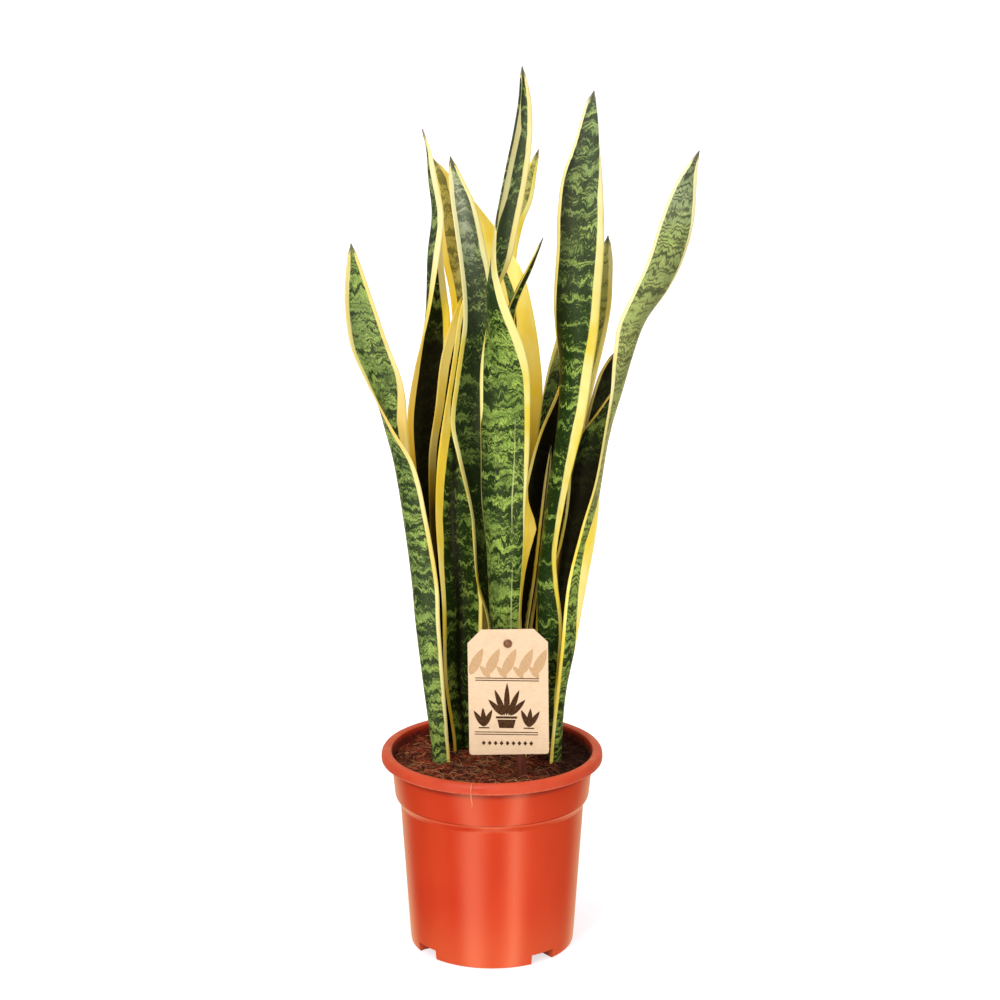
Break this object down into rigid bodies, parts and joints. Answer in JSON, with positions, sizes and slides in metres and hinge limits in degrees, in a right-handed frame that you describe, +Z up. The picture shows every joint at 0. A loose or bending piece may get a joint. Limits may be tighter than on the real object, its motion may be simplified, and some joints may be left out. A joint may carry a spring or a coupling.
{
  "type": "potted snake plant",
  "caption": "Snake plant with upright, dark-banded, yellow-edged leaves in a terracotta-coloured plastic nursery pot, with a card tag on a stake.",
  "frame": {"origin": "centre of the pot's underside, on the floor it stands on", "axes": "+Z up along the pot's axis; -Y towards the side that carries the tag, +X to that side's right"},
  "size_m": [0.2591, 0.172, 0.685],
  "materials": {
    "pot_plastic": "smooth semi-gloss moulded plastic in orange terracotta",
    "potting_mix": "rough dark coir with pale fibres",
    "rhizome": "matt orange-tan skin",
    "leaf": "waxy semi-gloss, grey-green with dark green cross-bands and creamy yellow margins",
    "tag_card": "matt kraft card with a plain brown print",
    "tag_stake": "matt reddish-brown wood",
    "tag_pin": "dull antique brown"
  },
  "bodies": {
    "root": {"pot": "pot_plastic", "potting_mix": "potting_mix", "rhizome": "rhizome", "leaf_left_outer": "leaf", "leaf_left_tall": "leaf", "leaf_left_middle": "leaf", "leaf_left_folded": "leaf", "leaf_left_back": "leaf", "leaf_left_olive": "leaf", "leaf_centre_tall": "leaf", "leaf_centre_back": "leaf", "leaf_centre_pale": "leaf", "leaf_spear": "leaf", "leaf_right_tall": "leaf", "leaf_right_outer": "leaf", "leaf_right_back": "leaf", "leaf_right_middle": "leaf", "leaf_slim": "leaf", "leaf_right_rear": "leaf", "leaf_right_inner": "leaf", "tag_card": "tag_card", "tag_stake": "tag_stake", "tag_pin": "tag_pin"}
  },
  "joints": []
}
